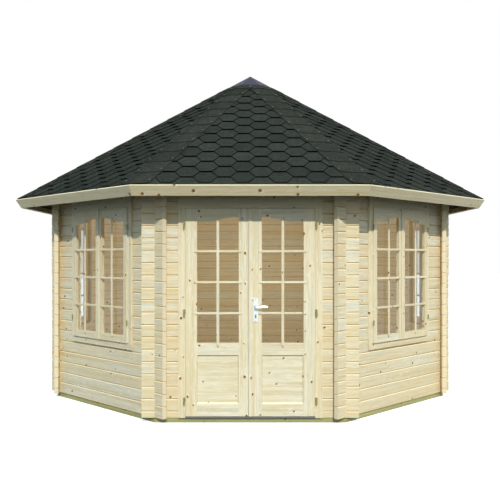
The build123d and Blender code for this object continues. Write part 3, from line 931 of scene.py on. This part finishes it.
def makeShingles():
    sizes = roofSizes
    step, pitch = sizes["exposure"], sizes["pitch"]
    flat, waist, half = sizes["flat"] / 2, sizes["waist"] / 2, sizes["pitch"] / 2
    deep = 2 * step + 12
    tab = [(-flat, 0), (flat, 0), (waist, step), (half, step), (half, deep), (-half, deep),
           (-half, step), (-waist, step)]
    reach, rise = sizes["starter"]
    starter = [(-reach, 0), (reach, 0), (reach, rise), (-reach, rise)]
    slopes = []
    for side in range(8):
        bm = bmesh.new()
        tone = bm.verts.layers.float.new("boardTone")
        run, row = sizes["firstRow"], 0
        # the strip along the eave
        addTab(bm, tone, starter, 0, sizes["eaveRun"], *sizes["starterLay"])
        while run > sizes["lastRow"]:
            shift = 0 if row % 2 else half
            count = int((run * math.cos(slopeAngle) * math.tan(eighth / 2) + pitch) / pitch) + 1
            for column in range(-count, count + 1):
                middle = column * pitch + shift + sizes["phase"]
                addTab(bm, tone, tab, middle, run, sizes["lift"], sizes["thick"], side % 4 != 0)
            run -= step
            row += 1
        bmesh.ops.recalc_face_normals(bm, faces=bm.faces)
        for hand in (-1, 1):  # cut along both hips
            cutAway(bm, (0, 0, 0), (hand * math.cos(eighth / 2), math.sin(eighth / 2), 0))
        outwardNormals(bm)
        lift = (roofSpot(0, 0, 1) - roofSpot(0, 0, 0)).normalized()
        # the tab edges: near-black on the flat ones facing down the slope (bitumen with painted
        # shade), painted shade on the slanted ones
        for face in bm.faces:
            if abs(face.normal.dot(lift)) < 0.8:
                face.material_index = 1 if abs(face.normal.x) < 0.15 else 2
        turn = Matrix.Rotation(eighth * side, 3, "Z")
        bmesh.ops.rotate(bm, cent=(0, 0, 0), matrix=turn, verts=bm.verts)
        slopes.append(toMesh(bm))
    finishPiece("roof_shingles", slopes, [shingleTop, shingleEdgeAndShade, paintedShadeEdge], "cabin",
                ("shingle_cover",))


def hipSpot(beside, run, rise):
    # a point of the slope left of a hip, turned so that the hip faces the front
    hipAcross = run * math.cos(slopeAngle) * math.tan(eighth / 2)
    spot = Matrix.Rotation(-eighth / 2, 3, "Z") @ roofSpot(hipAcross - beside, run, rise)
    if not beside:
        spot.x = 0
    return spot


def makeHipCaps():
    sizes = roofSizes
    caps, nails = [], []
    length = sizes["eaveRun"] / math.cos(math.atan(math.cos(slopeAngle) * math.tan(eighth / 2)))
    count = int(length / sizes["capExposure"])
    half, over = sizes["capHalf"], sizes["capLift"]
    for hip in range(8):
        spin = Matrix.Rotation(eighth * hip + eighth / 2, 3, "Z")
        for number in range(count + 1):
            low = sizes["eaveRun"] * (1 - number * sizes["capExposure"] / length) - 3
            high = max(low - sizes["capExposure"] - sizes["capLap"], sizes["capTop"])
            if low - high < sizes["capShortest"]:
                continue
            bm = bmesh.new()
            tone = bm.verts.layers.float.new("boardTone")
            value = chance.random()
            # the lower edge is bowed: it hangs lowest on the hip and rises towards both sides
            lines = []
            atEdge, atBend = sizes["capBow"]
            atEdge += chance.uniform(-sizes["capSpread"], sizes["capSpread"])
            for beside, bow in ((half, atEdge), (half * sizes["capBowAt"], atBend), (0, 0)):
                lift = over if beside else over + 2
                lower = hipSpot(beside, low - bow, lift)
                upper = hipSpot(beside, high - bow * sizes["capBowUpper"], lift - sizes["capTuck"])
                lines.append((lower, upper))
            lines += [tuple(Vector((-spot.x, spot.y, spot.z)) for spot in pair)
                      for pair in reversed(lines[:2])]
            verts = [[bm.verts.new(spin @ spot) for spot in pair] for pair in lines]
            faces = [bm.faces.new((first[0], second[0], second[1], first[1]))
                     for first, second in zip(verts, verts[1:])]
            thicken(bm, faces, (0, 0, -sizes["capThick"] * mm))
            for spot in bm.verts:
                spot[tone] = value
            outwardNormals(bm)
            downhill = spin @ Vector((0, -1, 0))
            # painted shade on the caps' edges that face downhill
            for face in bm.faces:
                face.material_index = 1 if face.normal.dot(downhill) > 0.7 else 0
            caps.append(toMesh(bm))
            inward, up = sizes["nailPlace"]
            place = hipSpot(half - inward, low - up, over - 1)
            for hand in (-1, 1):
                spot = spin @ Vector((hand * place.x, place.y, place.z))
                nails.append(coneMesh(8, sizes["nailRadius"], 4, 3, spot))
    finishPiece("hip_caps", caps, [hipTop, paintedShadeEdge], "cabin")
    finishPiece("hip_cap_nails", nails, [nailPale], "cabin")


makeShingles()
makeHipCaps()
dress("roof_cap", plainMaterial("capSheet", toLinear(44, 48, 64), 0.6, specular=0.1))
print("roof covered")


# floor boards
floorSizes = {
    "low": 45, "high": 64, "boardWidth": 95, "gap": 0.6, "apothem": 2085, "notchHalf": 663,
    "notchEnd": -2066,
}


def makeFloor():
    boards = []
    sizes = floorSizes
    reach = sizes["apothem"]
    normals = [Vector((math.sin(eighth * side), -math.cos(eighth * side), 0)) for side in range(8)]
    cuts = [(normal * reach * mm, normal) for normal in normals]
    left = -reach
    while left < reach:
        right = min(left + sizes["boardWidth"], reach)
        atDoor = right > -sizes["notchHalf"] and left < sizes["notchHalf"]
        start = sizes["notchEnd"] if atDoor else -reach
        box(boards, (left + sizes["gap"] / 2, right - sizes["gap"] / 2), (start, reach),
            (sizes["low"], sizes["high"]), 1, 1.5, cuts)
        left = right
    finishPiece("floor_boards", boards, [floorWood, joineryEndsAndShade], "cabin",
                ("floor",))


makeFloor()
print("floor laid")


# camera, light and ground
cameraSizes = {"place": (0.0, -8.4236, 1.5071), "lens": 49.19, "shift": (-0.0006, 0.018)}
lampLooks = {  # strength, colour, turn in degrees and angle across, which is wide for the fills
    "sun": (2.6, (1.0, 0.985, 0.95), (56.6, 0, 5.1), 0.6),
    "fillRight": (0.78, (1.0, 0.99, 0.95), (62, 0, 75), 70),
    "fillLeft": (0.3, (0.62, 0.85, 1.12), (65, 0, -70), 80),
    "fillFront": (0.17, (0.95, 1.0, 0.92), (81, 0, 3), 24),
    "fillBack": (0.9, (1.0, 0.97, 0.92), (58, 0, 175), 60),
}
roomLook = {"strength": 52, "colour": (0.95, 0.92, 0.82), "radius": 0.5, "place": (0.0, 0.1, 1.4)}
skyLook = {"colour": (0.57, 0.83, 1.14, 1), "low": 0.5, "high": 0.67}
groundLook = {
    "radius": 60, "pale": (0.86, 0.86, 0.86, 1), "bounce": (0.035, 0.04, 0.03, 1), "glow": 0.42,
}

cameraData = bpy.data.cameras.new("camera")
cameraData.lens = cameraSizes["lens"]
cameraData.shift_x, cameraData.shift_y = cameraSizes["shift"]
camera = addObject("camera", cameraData)
camera.location = cameraSizes["place"]
camera.rotation_euler = (math.radians(90), 0, 0)
bpy.context.scene.camera = camera
bpy.context.scene.view_settings.view_transform = "Standard"


def addLamp(name, kind, strength, colour):
    data = bpy.data.lights.new(name, kind)
    data.energy = strength
    data.color = colour
    return addObject(name, data)


for name, (strength, colour, turn, spread) in lampLooks.items():
    lamp = addLamp(name, "SUN", strength, colour)
    lamp.data.angle = math.radians(spread)
    lamp.rotation_euler = [math.radians(value) for value in turn]
roomLamp = addLamp("roomLamp", "POINT", roomLook["strength"], roomLook["colour"])
roomLamp.data.shadow_soft_size = roomLook["radius"]  # stands for the daylight that fills the room
roomLamp.location = roomLook["place"]
roomLamp.visible_camera = roomLamp.visible_glossy = roomLamp.visible_transmission = False


def seenShare(tree):  # one where the camera looks, also in a mirror or through a pane
    path = tree.nodes.new("ShaderNodeLightPath").outputs
    share = mathNode(tree, "MAXIMUM", path["Is Camera Ray"], path["Is Glossy Ray"])
    return mathNode(tree, "MAXIMUM", share, path["Is Transmission Ray"])


def makeWorld():
    world = bpy.data.worlds.new("world")
    bpy.context.scene.world = world
    world.use_nodes = True
    tree = world.node_tree
    sky = tree.nodes["Background"]
    sky.inputs["Color"].default_value = skyLook["colour"]
    # brighter overhead than near the ground, so that it darkens under the eaves
    height = separate(tree, tree.nodes.new("ShaderNodeTexCoord").outputs["Generated"])[2]
    strength = rangeNode(tree, height, 0.0, 0.7, skyLook["low"], skyLook["high"])
    tree.links.new(strength, sky.inputs["Strength"])
    white = tree.nodes.new("ShaderNodeBackground")
    fillSlots(tree, white.inputs, ((1, 1, 1, 1), 1.0))
    blend = tree.nodes.new("ShaderNodeMixShader")
    fillSlots(tree, blend.inputs, (seenShare(tree), sky.outputs[0], white.outputs[0]))
    tree.links.new(blend.outputs[0], tree.nodes["World Output"].inputs["Surface"])


def groundMaterial():
    # white where the camera looks past the shadow, a soft grey-green bounce on the object
    material, tree, shader = newMaterial("paleGround", 1.0, 0.0)
    bounced = tree.nodes.new("ShaderNodeLightPath").outputs["Is Diffuse Ray"]
    pale = mixColour(tree, bounced, groundLook["pale"], groundLook["bounce"])
    tree.links.new(pale, shader.inputs["Base Color"])
    glow = tree.nodes.new("ShaderNodeEmission")
    strength = mathNode(tree, "MULTIPLY", seenShare(tree), groundLook["glow"])
    fillSlots(tree, glow.inputs, ((1, 1, 1, 1), strength))
    total = tree.nodes.new("ShaderNodeAddShader")
    fillSlots(tree, total.inputs, (shader.outputs[0], glow.outputs[0]))
    tree.links.new(total.outputs[0], tree.nodes["Material Output"].inputs["Surface"])
    return material


makeWorld()
ground = bmesh.new()
bmesh.ops.create_circle(ground, cap_ends=True, segments=64, radius=groundLook["radius"])
groundPiece = addObject("ground", toMesh(ground))
groundPiece.data.materials.append(groundMaterial())
print("light and camera set")
